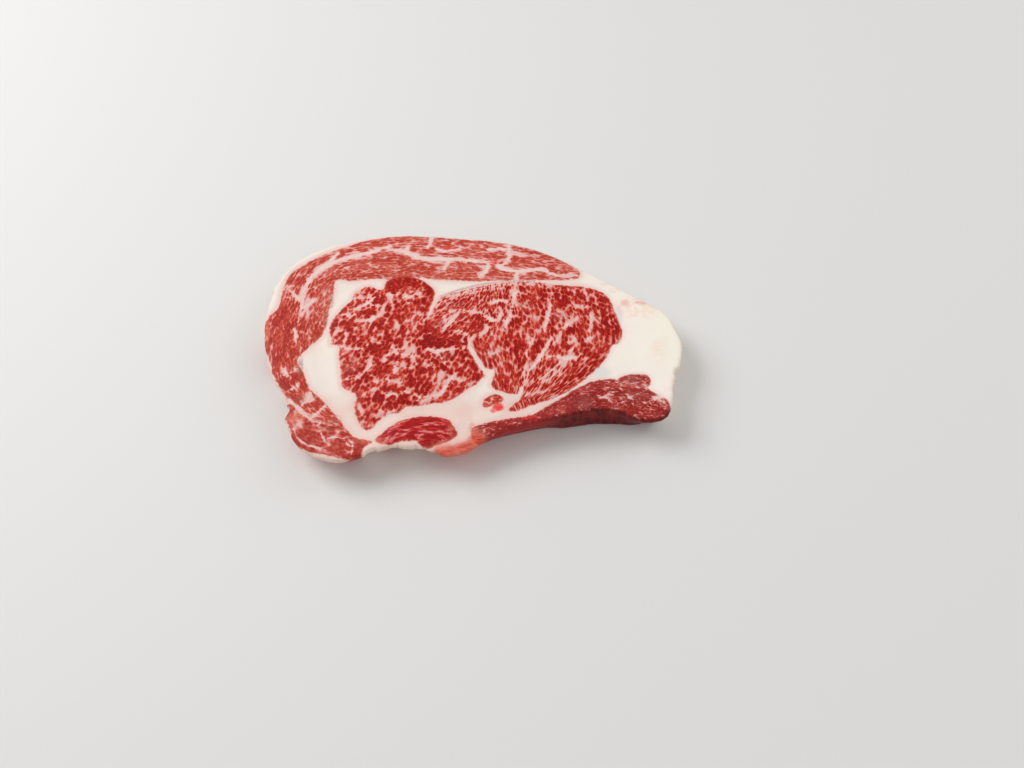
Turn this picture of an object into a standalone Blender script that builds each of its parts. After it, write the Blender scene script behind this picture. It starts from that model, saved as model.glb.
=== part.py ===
"""Raw, heavily marbled ribeye steak, modelled as one solid slice of beef.

The slice lies on its cut face.  Its frame has +X along the length, +Y to the
back and +Z up, with the origin under the middle of the outline, on the plane
that it rests on.  The body is a loft: a rounded top edge, a wall that tucks in
under the slice by a different amount on each side, and a flat base.  The top
is a field of rings that close on a spine, lifted over the muscles and sunk
along the fat seams between them.
"""
import math

import bmesh
import bpy
import numpy as np

MM = 0.001

# Driving dimensions, in millimetres.
THICKNESS = 19.0          # plane of the upper cut, before the muscles bulge
TOP_RADIUS = 2.2          # rounding of the upper edge
BASE_RADIUS = 3.0         # rounding of the lower edge
STATIONS = 144            # points round the outline
TOP_RINGS = 12            # rings between the upper edge and the spine
ROUND_STEPS = 3           # steps in each rounded edge
WALL_STEPS = 4            # steps down the wall
SPINE = (-58.0, 62.0)     # stretch of the X axis that the rings close on
INNER_RING = 0.07         # size of the last ring, as a share of the outline
WALL_CURVE = 1.3          # above 1, the wall tucks in mostly near the base

# Upper edge of the slice, anticlockwise from the right end.
OUTLINE = (
    (117.8, 4.0), (107.0, 23.0), (74.0, 44.8), (47.5, 61.3), (22.5, 71.0),
    (-9.0, 75.5), (-50.0, 77.0), (-88.0, 67.7), (-108.0, 53.0),
    (-116.0, 35.0), (-118.8, 10.0), (-113.5, -19.0), (-105.0, -34.5),
    (-101.0, -42.5), (-101.4, -50.0), (-97.0, -62.5), (-86.0, -73.5),
    (-67.0, -77.5), (-44.0, -69.4), (-29.0, -69.4), (-7.0, -74.0), (5.3, -67.0),
    (24.0, -57.6), (56.0, -48.8), (76.0, -45.7), (93.0, -52.5),
    (108.0, -48.5), (112.6, -27.0), (117.6, -12.0),
)

# How far the wall tucks in from the upper edge down to the base, by bearing
# round the slice in degrees: little at the back, most under the front.
UNDERCUT = (
    (0.0, 3.5), (60.0, 1.5), (120.0, 1.5), (175.0, 3.5), (205.0, 8.0),
    (232.0, 9.5), (262.0, 11.0), (290.0, 6.0), (325.0, 2.5), (338.0, 6.5),
    (360.0, 3.5),
)

# The same along the waist and corner at the front right, by x: the base runs
# nearly straight there, under an upper edge that steps in and out again.
WAIST_UNDERCUT = (
    (30.0, 5.2), (43.0, 4.6), (52.0, 1.8), (66.0, 1.0), (76.0, 0.0),
    (83.0, 2.6), (94.0, 8.0), (100.0, 9.0), (106.0, 7.6), (114.0, 5.5),
)
WAIST_FROM_Y = -30.0

# Muscles that stand a little proud of the cut: centre, half sizes and rise.
MUSCLES = (
    ((-44.0, -4.0), (34.0, 44.0), 1.1),
    ((30.0, 1.0), (54.0, 38.0), 1.0),
    ((-60.0, 57.0), (52.0, 12.0), 0.5),
    ((-20.0, -60.0), (34.0, 9.0), 0.6),
    ((78.0, -36.0), (30.0, 9.0), 0.6),
)

# Fat seams between the muscles: each a line of points, with depth and width.
SEAMS = (
    (((-15.0, 39.0), (-62.0, 42.0), (-81.0, 30.0), (-86.0, -10.0),
      (-75.0, -44.0), (-56.0, -64.0), (-42.0, -51.0), (-8.0, -46.0)), 0.8, 6.0),
    (((-15.0, 39.0), (10.0, 43.0), (62.0, 42.0)), 0.6, 5.0),
    (((-15.0, 39.0), (-27.0, 14.0)), 0.5, 4.0),
    (((7.0, -20.0), (2.0, -44.0), (-2.0, -62.0)), 0.9, 7.0),
    (((2.0, -48.0), (36.0, -46.0), (62.0, -30.0), (92.0, -18.0)), 0.6, 5.0),
)

# The soft right end and the front left corner settle below the cut plane.
SAGS = (
    ((104.0, 2.0), (38.0, 60.0), 1.3),
    ((-84.0, -62.0), (34.0, 26.0), 1.2),
    ((-4.0, -72.0), (20.0, 14.0), 1.0),
)


def clear_scene():
    """Remove every object, so that the script can be run again."""
    for item in list(bpy.data.objects):
        bpy.data.objects.remove(item, do_unlink=True)


def closed_spline(points, count):
    """Points spaced evenly along a closed Catmull-Rom curve through the given ones."""
    knots = np.array(points)
    before, after = np.roll(knots, 1, axis=0), np.roll(knots, -1, axis=0)
    beyond = np.roll(knots, -2, axis=0)
    fine = []
    for share in np.linspace(0.0, 1.0, 40, endpoint=False):
        fine.append(0.5 * (
            2.0 * knots
            + (after - before) * share
            + (2.0 * before - 5.0 * knots + 4.0 * after - beyond) * share ** 2
            + (3.0 * knots - before - 3.0 * after + beyond) * share ** 3
        ))
    curve = np.stack(fine, axis=1).reshape(-1, 2)
    steps = np.linalg.norm(np.roll(curve, -1, axis=0) - curve, axis=1)
    walked = np.concatenate(([0.0], np.cumsum(steps)))
    loop = np.vstack((curve, curve[:1]))
    marks = np.linspace(0.0, walked[-1], count, endpoint=False)
    return np.column_stack([np.interp(marks, walked, loop[:, axis]) for axis in (0, 1)])


def centred(points):
    """Shift an outline so that its box is centred on the origin."""
    return points - 0.5 * (points.max(axis=0) + points.min(axis=0))


def outward_normals(points):
    """Unit normals of a closed anticlockwise outline, smoothed over its neighbours."""
    along = np.roll(points, -2, axis=0) - np.roll(points, 2, axis=0)
    along /= np.linalg.norm(along, axis=1)[:, None]
    return np.column_stack((along[:, 1], -along[:, 0]))


def undercuts(points):
    """How far the wall tucks in at each outline point, blended between bearings."""
    bearings = np.degrees(np.arctan2(points[:, 1], points[:, 0])) % 360.0
    by_bearing = np.interp(bearings, *zip(*UNDERCUT))
    places, depths = zip(*WAIST_UNDERCUT)
    at_waist = (points[:, 1] < WAIST_FROM_Y) & (points[:, 0] > places[0])
    return np.where(at_waist, np.interp(points[:, 0], places, depths), by_bearing)


def dome(points, centre, half_sizes):
    """A smooth hill that is 1 at its centre and dies away past its half sizes."""
    reach = (points - np.array(centre)) / np.array(half_sizes)
    return np.exp(-np.sum(reach ** 2, axis=1) ** 2)


def distance_to_line(points, line):
    """Shortest distance from each point to a line of straight runs."""
    nearest = np.full(len(points), np.inf)
    for start, end in zip(np.array(line[:-1]), np.array(line[1:])):
        run = end - start
        share = np.clip((points - start) @ run / (run @ run), 0.0, 1.0)
        gap = np.linalg.norm(points - (start + share[:, None] * run), axis=1)
        nearest = np.minimum(nearest, gap)
    return nearest


def relief(points):
    """Height of the top over the cut plane: muscles up, seams and soft ends down."""
    height, groove = np.zeros(len(points)), np.zeros(len(points))
    for centre, half_sizes, rise in MUSCLES:
        height += rise * dome(points, centre, half_sizes)
    for line, depth, width in SEAMS:
        sunk = depth * np.exp(-(distance_to_line(points, line) / width) ** 2)
        groove = np.maximum(groove, sunk)
    for centre, half_sizes, drop in SAGS:
        height -= drop * dome(points, centre, half_sizes)
    return height - groove


def wall_rings(outline):
    """Rings from the upper edge, round it, down the wall and round to the base."""
    normals = outward_normals(outline)
    tuck = undercuts(outline)
    brow = THICKNESS + relief(outline)
    quarter = np.linspace(0.0, math.pi / 2.0, ROUND_STEPS + 1)
    rings = []
    for turn in quarter:
        inset = TOP_RADIUS * (1.0 - math.sin(turn)) * np.ones(len(outline))
        rings.append((inset, brow - TOP_RADIUS * (1.0 - math.cos(turn))))
    for share in np.linspace(0.0, 1.0, WALL_STEPS + 1)[1:]:
        inset = tuck * share ** WALL_CURVE
        rings.append((inset, (brow - TOP_RADIUS) * (1.0 - share) + BASE_RADIUS * share))
    for turn in quarter[1:]:
        inset = tuck + BASE_RADIUS * (1.0 - math.cos(turn))
        height = BASE_RADIUS * (1.0 - math.sin(turn))
        rings.append((inset, np.full(len(outline), height)))
    return [
        np.column_stack((outline - normals * inset[:, None], height))
        for inset, height in rings
    ]


def top_rings(rim):
    """Rings across the top, from inside the upper edge to the spine."""
    flat = rim[:, :2]
    spine = np.column_stack((np.clip(flat[:, 0], *SPINE), np.zeros(len(flat))))
    rings = []
    for size in np.linspace(1.0, INNER_RING, TOP_RINGS + 1)[1:]:
        spread = spine + (flat - spine) * size
        rings.append(np.column_stack((spread, THICKNESS + relief(spread))))
    return rings


def loft(rings):
    """Closed skin through the rings, listed from the middle of the top to the base."""
    shell = bmesh.new()
    loops = [[shell.verts.new(point * MM) for point in ring] for ring in rings]
    for upper, lower in zip(loops, loops[1:]):
        for at in range(STATIONS):
            ahead = (at + 1) % STATIONS
            shell.faces.new((upper[at], lower[at], lower[ahead], upper[ahead]))
    ends = [shell.faces.new(loops[0]), shell.faces.new(list(reversed(loops[-1])))]
    bmesh.ops.triangulate(shell, faces=ends, ngon_method="BEAUTY")
    return shell


def raw_beef():
    """Moist raw beef: the red of the lean with its marbling averaged in."""
    material = bpy.data.materials.new("raw_beef")
    material.use_nodes = True
    surface = material.node_tree.nodes["Principled BSDF"]
    surface.inputs["Base Color"].default_value = (0.48, 0.14, 0.12, 1.0)
    surface.inputs["Roughness"].default_value = 0.38
    surface.inputs["Metallic"].default_value = 0.0
    return material


def build_steak(collection):
    """The whole slice, as one closed body."""
    outline = centred(closed_spline(OUTLINE, STATIONS))
    walls = wall_rings(outline)
    shell = loft(list(reversed(top_rings(walls[0]))) + walls)
    mesh = bpy.data.meshes.new("steak")
    shell.to_mesh(mesh)
    shell.free()
    mesh.shade_smooth()
    mesh.materials.append(raw_beef())
    steak = bpy.data.objects.new("steak", mesh)
    collection.objects.link(steak)
    return steak


def main():
    clear_scene()
    collection = bpy.data.collections.new("ribeye_steak")
    bpy.context.scene.collection.children.link(collection)
    build_steak(collection)


main()
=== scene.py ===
"""Raw marbled ribeye steak: the looks of one slice of beef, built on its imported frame."""
import math
import bpy
import numpy as np
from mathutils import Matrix, Vector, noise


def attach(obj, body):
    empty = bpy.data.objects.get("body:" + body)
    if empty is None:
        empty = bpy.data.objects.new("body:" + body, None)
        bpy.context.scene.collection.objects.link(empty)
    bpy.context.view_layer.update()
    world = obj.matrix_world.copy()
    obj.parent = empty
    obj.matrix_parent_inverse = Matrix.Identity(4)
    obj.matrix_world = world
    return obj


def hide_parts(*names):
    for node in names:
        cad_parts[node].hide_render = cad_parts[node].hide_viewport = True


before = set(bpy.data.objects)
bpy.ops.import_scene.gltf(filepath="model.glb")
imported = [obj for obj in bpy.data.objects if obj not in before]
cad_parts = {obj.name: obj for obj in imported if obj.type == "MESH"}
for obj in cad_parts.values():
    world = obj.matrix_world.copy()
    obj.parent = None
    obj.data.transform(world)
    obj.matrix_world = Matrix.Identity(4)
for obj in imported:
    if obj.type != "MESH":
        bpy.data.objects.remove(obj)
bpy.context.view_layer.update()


# --- Studio -----------------------------------------------------------------
# A pale floor under the slice, a wide soft light from behind and to the left,
# weaker ones from the front and the right, and a plain pale surround.
MM = 0.001
FLOOR_SIDE = 4.0
FLOOR_GAP = 0.2 * MM      # keeps the floor just clear of the base
LOOKING_DOWN = 56.64      # degrees below level


def linear(red, green, blue):
    """A display colour, 0 to 255 a channel, as the linear colour that shaders take."""
    shares = [channel / 255.0 for channel in (red, green, blue)]
    return tuple(s / 12.92 if s < 0.04045 else ((s + 0.055) / 1.055) ** 2.4 for s in shares) + (1.0,)


bpy.ops.object.select_all(action="DESELECT")
bpy.ops.mesh.primitive_plane_add(size=FLOOR_SIDE, location=(0.0, 0.0, -FLOOR_GAP))
floor = bpy.context.object
floor.name = "studio_floor"
floor_paint = bpy.data.materials.new("studio_floor")
floor_paint.use_nodes = True
floor_coat = floor_paint.node_tree.nodes["Principled BSDF"].inputs
floor_coat["Base Color"].default_value = linear(226, 225, 223)
floor_coat["Roughness"].default_value = 0.7
floor.data.materials.append(floor_paint)

world = bpy.data.worlds.new("studio")
bpy.context.scene.world = world
world.use_nodes = True
surround = world.node_tree.nodes["Background"].inputs
surround["Color"].default_value = (1.0, 0.99, 0.98, 1.0)
surround["Strength"].default_value = 0.42

for name, stand, size, power in (
    ("key", (-0.95, 0.45, 0.95), 0.9, 13.0),
    ("fill", (0.70, -0.75, 0.85), 1.2, 3.5),
    ("side", (1.00, 0.60, 0.70), 0.8, 3.0),
):
    lamp = bpy.data.lights.new(name, "AREA")
    lamp.size = size
    lamp.energy = power
    light = bpy.data.objects.new(name, lamp)
    light.location = stand
    light.rotation_euler = Vector(stand).to_track_quat("Z", "Y").to_euler()
    bpy.context.scene.collection.objects.link(light)

lens = bpy.data.cameras.new("camera")
lens.lens = 46.28
camera = bpy.data.objects.new("camera", lens)
camera.location = (22.5 * MM, -429.4 * MM, 626.4 * MM)
camera.rotation_euler = (math.radians(90.0 - LOOKING_DOWN), 0.0, 0.0)
bpy.context.scene.collection.objects.link(camera)
bpy.context.scene.camera = camera
bpy.context.scene.view_settings.view_transform = "Standard"


# --- The slice --------------------------------------------------------------
# One slice of beef about 20 mm thick, cut across the grain and lying flat.
# The frame's solid is copied and remeshed fine enough to carry seams and folds.
FINE = 0.86               # edge of a face on the finished slice
THICKNESS = 19.0          # from the base to the upper cut

bpy.ops.object.select_all(action="DESELECT")
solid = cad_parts["steak"]
steak = solid.copy()
steak.data = solid.data.copy()
steak.name = "ribeye_slice"
bpy.context.scene.collection.objects.link(steak)
steak.parent = None
steak.select_set(True)
bpy.context.view_layer.objects.active = steak
bpy.ops.object.mode_set(mode="EDIT")
bpy.ops.mesh.select_all(action="SELECT")
bpy.ops.mesh.remove_doubles(threshold=0.01 * MM)
bpy.ops.object.mode_set(mode="OBJECT")
even = steak.modifiers.new("even", "REMESH")
even.mode = "VOXEL"
even.voxel_size = FINE * MM
bpy.ops.object.modifier_apply(modifier=even.name)
soften = steak.modifiers.new("soften", "SMOOTH")
soften.factor = 0.5
soften.iterations = 3
bpy.ops.object.modifier_apply(modifier=soften.name)
bpy.ops.object.shade_smooth()


def read_points(mesh):
    """Every vertex of the slice, in millimetres, and its normal."""
    place = np.empty(len(mesh.vertices) * 3)
    facing = np.empty(len(mesh.vertices) * 3)
    mesh.vertices.foreach_get("co", place)
    mesh.vertices.foreach_get("normal", facing)
    return place.reshape(-1, 3) / MM, facing.reshape(-1, 3)


points, normals = read_points(steak.data)


def blend(value, low, high):
    """0 below low, 1 above high, and an eased climb between them."""
    share = np.clip((value - low) / (high - low), 0.0, 1.0)
    return share * share * (3.0 - 2.0 * share)


def mottle(places, size, seed):
    """Smooth random values from -1 to 1 over places, with lumps of the given size."""
    shift = Vector((seed * 17.3, seed * 5.1, seed * 9.7))
    return np.array([noise.noise(Vector(place) / size + shift) for place in places])


def rounded(knots, closed, step=1.2):
    """A smooth line through knots, with a point about every step."""
    knots = np.array(knots, float)
    count = len(knots)
    runs = count if closed else count - 1
    line = []
    for at in range(runs):
        near = at + np.arange(-1, 3)
        near = near % count if closed else np.clip(near, 0, count - 1)
        before, start, end, beyond = knots[near]
        pieces = max(2, int(np.linalg.norm((end - start)[:2]) / step))
        for share in np.arange(pieces) / pieces:
            line.append(0.5 * (2 * start + (end - before) * share
                               + (2 * before - 5 * start + 4 * end - beyond) * share ** 2
                               + (3 * start - before - 3 * end + beyond) * share ** 3))
    line.append(knots[0] if closed else knots[-1])
    return np.array(line)


def to_line(places, line):
    """For each place: how far off a line is, how far along it, how far to its left, and its third value."""
    best = np.full(len(places), 1e9)
    along, side, third = np.zeros((3, len(places)))
    walked = 0.0
    for start, end in zip(line[:-1], line[1:]):
        run = (end - start)[:2]
        length = max(np.linalg.norm(run), 1e-6)
        share = np.clip((places - start[:2]) @ run / length ** 2, 0.0, 1.0)
        gap = places - start[:2] - share[:, None] * run
        far = np.hypot(gap[:, 0], gap[:, 1])
        closer = far < best
        best[closer] = far[closer]
        along[closer] = walked + share[closer] * length
        side[closer] = np.sign(run[0] * gap[closer, 1] - run[1] * gap[closer, 0]) * far[closer]
        if len(start) > 2:
            third[closer] = start[2] + share[closer] * (end[2] - start[2])
        walked += length
    return best, along, side, third


def inside(places, loop):
    """Whether each place is inside a closed loop."""
    within = np.zeros(len(places), bool)
    for (x0, y0), (x1, y1) in zip(loop[:-1], loop[1:]):
        if y0 != y1:
            crosses = (y0 > places[:, 1]) != (y1 > places[:, 1])
            within ^= crosses & (places[:, 0] < x0 + (places[:, 1] - y0) / (y1 - y0) * (x1 - x0))
    return within


# The edge of the upper cut, seen from above, and how far each point is in from it.
rim = rounded(
    ((117.8, 4), (107, 23), (74, 44.8), (47.5, 61.3), (22.5, 71), (-9, 75.5), (-50, 77), (-88, 67.7),
     (-108, 53), (-116, 35), (-118.8, 10), (-113.5, -19), (-105, -34.5), (-101, -42.5), (-101.4, -50),
     (-97, -62.5), (-86, -73.5), (-67, -77.5), (-44, -69.4), (-29, -69.4), (-7, -74), (5.3, -67),
     (24, -57.6), (56, -48.8), (76, -45.7), (93, -52.5), (108, -48.5), (112.6, -27), (117.6, -12)),
    closed=True, step=3.0)
edge_far = to_line(points[:, :2], rim)[0]
edge_far = np.where(inside(points[:, :2], rim), edge_far, -edge_far)
wall = 1.0 - blend(np.abs(normals[:, 2]), 0.55, 0.9)
outward = normals[:, :2] / np.maximum(np.hypot(normals[:, 0], normals[:, 1]), 1e-3)[:, None]

# The seams run down through the slice, a little aslant.  The plan is where each
# point would sit on the upper cut: the tucked-in wall and base spread out to it.
DRIFT = 3.0               # how far a seam strays on its way down
TUCK = 12.0               # the most that the wall tucks in
depth = np.clip(THICKNESS - points[:, 2], 0.0, THICKNESS)
drift = np.column_stack([mottle(points, 30.0, seed) for seed in (1, 2)]) * DRIFT
plan = points[:, :2] + drift * blend(depth, 4.0, THICKNESS)[:, None]
push = wall * np.clip(edge_far - 0.9, 0.0, TUCK)
plan = plan + outward * push[:, None]
base_spread = (1.0 - wall) * blend(depth, 15.0, 18.0) * 0.11
plan[:, 1] -= base_spread * np.clip(-points[:, 1], 0.0, 80.0)


# --- Muscles ----------------------------------------------------------------
# The lean: two lobes of the eye, the cap that curls round them, and the chain
# of small muscles under them.  Each is an outline, with the way its fibres lie.
FAR_OUT = 60.0            # farther from the lean than anything on the slice
BUNDLE_DEPTH = 14.0       # how far down a bundle of fibres keeps its shape
MEETING = 1.9             # reach of the thin line where two muscles touch
FAT_SKIN = 2.5            # the fat that covers the wall

lean = np.full(len(points), -FAR_OUT)  # how far in from a muscle's edge
fibre = np.zeros((len(points), 3))     # along the fibres, across them and down, in bundles
kind = np.zeros((len(points), 3))      # share of cap, crimson and maroon lean
marbling = np.zeros(len(points))       # share of fat in the lean
meeting = np.zeros(len(points))        # 1 where two muscles meet with no seam between them


def lay_muscle(outline, cell, coverage, share, line=None, turn=None):
    """Lay a muscle in its outline.  The cell is its bundles' size along and across the fibres, and its own
    start in the pattern; coverage is its share of fat, and share its kinds of lean.  The fibres follow a
    line, turn as a function says, or else run from left to right."""
    loop = rounded(outline, closed=True)
    far = to_line(plan, loop)[0]
    depth_in = np.where(inside(plan, loop), far, -far)
    mine = depth_in > lean
    both = np.minimum(depth_in, lean) > 0.3
    meeting[both] = np.maximum(meeting[both], 1.0 - np.abs(depth_in - lean)[both] / MEETING)
    if line is not None:
        _, along, across, _ = to_line(plan[mine], rounded(line, closed=False, step=4.0))
    elif turn is not None:
        along, across = turn(plan[mine])
    else:
        along, across = plan[mine, 0], plan[mine, 1]
    down = points[mine, 2] / BUNDLE_DEPTH + cell[2]
    fibre[mine] = np.column_stack((along / cell[0], across / cell[1], down))
    lean[mine] = depth_in[mine]
    kind[mine] = share
    marbling[mine] = coverage


# Left lobe of the eye.
lay_muscle(
    ((-43.5, 45.7), (-49.7, 43.4), (-51.2, 39.5), (-52, 36.2), (-55, 36), (-60.5, 38.8), (-65.5, 36.5),
     (-69.3, 32.2), (-69.7, 28.8), (-75.5, 21.5), (-80.5, 13.4), (-81.2, 7.2), (-80, 2.6), (-79.3, -2.8),
     (-74.7, -4.3), (-74.3, -10.5), (-72.4, -23.5), (-71.6, -29.7), (-69.7, -32.8), (-65, -35),
     (-62.8, -38.2), (-63.5, -44.3), (-62, -50.5), (-59.7, -55), (-55.8, -59), (-52, -55.8),
     (-48.2, -51.2), (-43.5, -48.9), (-38.2, -47.4), (-35.8, -44.3), (-29.7, -43.9), (-20.5, -42),
     (-14.6, -41.2), (-8.5, -38.2), (-3, -33.5), (2.3, -29.7), (5.4, -25.8), (7.3, -24.3), (6.2, -21.2),
     (3, -16.6), (0.4, -11.2), (-1.5, -8.2), (-3, -2.5), (-12, 1), (-21.5, 4), (-24.5, 12), (-25.6, 18),
     (-22.8, 28.5), (-22.3, 34.2), (-23.8, 38), (-27, 41), (-30, 43.4), (-37, 45.6)),
    (3.1, 2.1, 0.0), 0.5, (0, 0, 0),
    turn=lambda p: (p[:, 0] * 0.35 + p[:, 1] * 0.94, p[:, 0] * 0.94 - p[:, 1] * 0.35))


def fan(p):
    """Fibres that open out from the middle of the front edge towards the back."""
    gather = 38.0         # this far in front of the middle, the fibres have drawn in
    bend = 8.0            # in front of this line, the bundles are longer

    # Towards the front the fibres draw in to one place, a little right of the middle.
    closing = (np.clip(-p[:, 1], 0.0, 60.0) / gather) ** 1.3
    across = (p[:, 0] - 10.67 * closing) / np.maximum(1.0 - 0.711 * closing, 0.25) ** 0.65

    # Towards the back they lean over at the left and stand upright at the right.
    tilt = 0.84 * (1.0 - blend(p[:, 0], -15.0, 30.0))
    across = across - np.clip(p[:, 1], 0.0, 60.0) * tilt
    slowed = np.where(p[:, 1] > bend, p[:, 1], bend + 0.72 * (p[:, 1] - bend))
    return slowed + 0.3 * p[:, 0], across


# Right lobe of the eye.
lay_muscle(
    ((-28, 10.5), (-24.4, 18), (-21.6, 25.5), (-19.3, 29.6), (-15, 32), (-10, 34), (0, 37.5), (10, 40),
     (20, 41.5), (30, 42), (40, 41), (52.5, 39.3), (62.5, 38.8), (72.5, 35.5), (78.3, 30.5), (80.8, 23),
     (83.3, 13.8), (85.3, 6.3), (82.5, -1.2), (79.2, -2.5), (77.5, -6.7), (75, -11.7), (71.7, -16.7),
     (65, -24.2), (60.8, -28.3), (56.7, -31.7), (50.8, -35.8), (45, -38.8), (36.7, -42), (30.8, -44.2),
     (25, -46.7), (20.8, -46.3), (23.3, -42.5), (26.7, -40), (28.3, -36), (29, -31.5), (26.9, -32),
     (25.4, -36), (22.3, -36.4), (16.2, -34.3), (12.3, -32.8), (11.2, -28.2), (13, -23.5), (12.3, -20),
     (7.6, -19), (5.4, -15), (3, -11.2), (0.8, -5.8), (-4, -4.6), (-12, -2.6), (-24, 0)),
    (2.9, 1.95, 3.1), 0.545, (0, 0, 0), turn=fan)

# Cap, which curls round the eye under the outer fat.
lay_muscle(
    ((61, 45), (61.7, 49.5), (59.2, 52), (47.5, 60.5), (37.5, 65.5), (22.5, 69.7), (4.2, 73),
     (-20.8, 75.5), (-45.8, 76), (-62.5, 73), (-75.8, 68), (-89.2, 61.3), (-100.8, 53), (-107.5, 46.3),
     (-110.4, 35), (-110.8, 28.5), (-112.4, 22), (-116, 17.5), (-118.3, 11), (-119, 4), (-117.2, -5.3),
     (-113.8, -12.3), (-111.5, -20), (-107, -29), (-102.5, -36.5), (-97, -41), (-84, -52), (-70, -57),
     (-68.5, -55.5), (-74.5, -48), (-80.8, -40.3), (-89.2, -32), (-93.3, -22), (-97.5, -13.7),
     (-92.5, -5.3), (-85.8, 3), (-83.3, 11.3), (-82.5, 23), (-80.8, 34.7), (-80, 43), (-70.8, 42.7),
     (-57.5, 44.2), (-47.5, 43.8), (-34.2, 45.2), (-20.8, 43.8), (0.8, 42.5), (20.8, 43.3), (45.8, 43.3)),
    (3.0, 1.15, 7.7), 0.44, (1, 0, 0),
    line=((-72, -56), (-92, -42), (-104, -20), (-105, 8), (-102, 30), (-95, 46), (-78, 58),
          (-52, 61), (-20, 60), (10, 57), (40, 53), (62, 48)))

# The cap darkens where it turns down the left side.
kind[:, 0] *= 1.0 - 0.55 * blend(-plan[:, 0], 84.0, 106.0)

# Lower left lobe, under the cap's white dividing line.
lay_muscle(
    ((-99.5, -42), (-100.6, -50), (-97.8, -58), (-95.8, -65), (-88, -71), (-76, -74.4), (-64.5, -77),
     (-58.6, -76), (-57, -69.5), (-52.5, -66), (-56, -64.5), (-62.5, -62.5), (-69, -56.5), (-80, -53.5),
     (-90, -48.5)),
    (4.2, 2.8, 12.2), 0.34, (0.6, 0, 0.4),
    line=((-56, -74), (-74, -68), (-90, -58), (-98, -42)))

# Lower middle muscle, fine and crimson.
lay_muscle(
    ((-51, -65.6), (-45.8, -59.2), (-37.5, -53.2), (-27.5, -50.5), (-14.2, -51.4), (-9.2, -56.5),
     (-7, -61), (-10.2, -65), (-17, -68), (-22, -70), (-26, -69), (-29, -66.3), (-35, -65.8),
     (-39.5, -67), (-43.5, -68.2)),
    (4.5, 1.3, 17.3), 0.29, (0, 1, 0),
    line=((-52, -64), (-40, -60), (-24, -60), (-8, -62)))

# Lower right muscle, dark and grainy, bare at the front wall.
lay_muscle(
    ((1, -57.2), (5.8, -55.3), (19.2, -52), (32.5, -49.5), (39.2, -45.3), (49.2, -38.7), (57.5, -32.8),
     (67.5, -27.5), (78, -25.5), (83.5, -28), (90, -29.6), (96, -31.2), (101, -34.6), (107.5, -39),
     (109.8, -45), (110, -52), (92, -56), (80, -54), (70, -52), (56, -53), (40, -58), (24, -62), (9, -68),
     (3.5, -67), (0.6, -62)),
    (1.9, 1.1, 22.9), 0.30, (0, 0, 1),
    line=((0, -60), (24, -54), (50, -44), (80, -38), (110, -44)))

# Oval muscle behind it.
lay_muscle(
    ((81.3, -26), (84, -23.4), (90, -22), (96, -22.2), (99.3, -25.5), (98.6, -29.5), (95, -31.2),
     (88, -29.6), (83, -28.8)),
    (1.9, 1.4, 28.4), 0.5, (0.2, 0, 0.8))

# Small island in the seam.
lay_muscle(
    ((6.8, -39.6), (10.5, -37), (14.5, -36.2), (17.4, -38.5), (16.6, -41.6), (12.5, -42.8), (8.4, -44.4),
     (6.8, -43.4)),
    (2.2, 1.6, 33.0), 0.45, (0.3, 0, 0))

# The back and the ends keep their skin of fat.  Lean is bare in patches at the
# left end, and all along the front.
bare = blend(-points[:, 0], 98.0, 108.0) * blend(-mottle(points * (1.0, 1.0, 2.0), 13.0, 9), 0.0, 0.2)
skinned = wall * blend(outward[:, 1], -0.6, -0.1) * (1.0 - bare)
lean = np.minimum(lean, FAR_OUT - (FAR_OUT + FAT_SKIN) * skinned)


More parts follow.
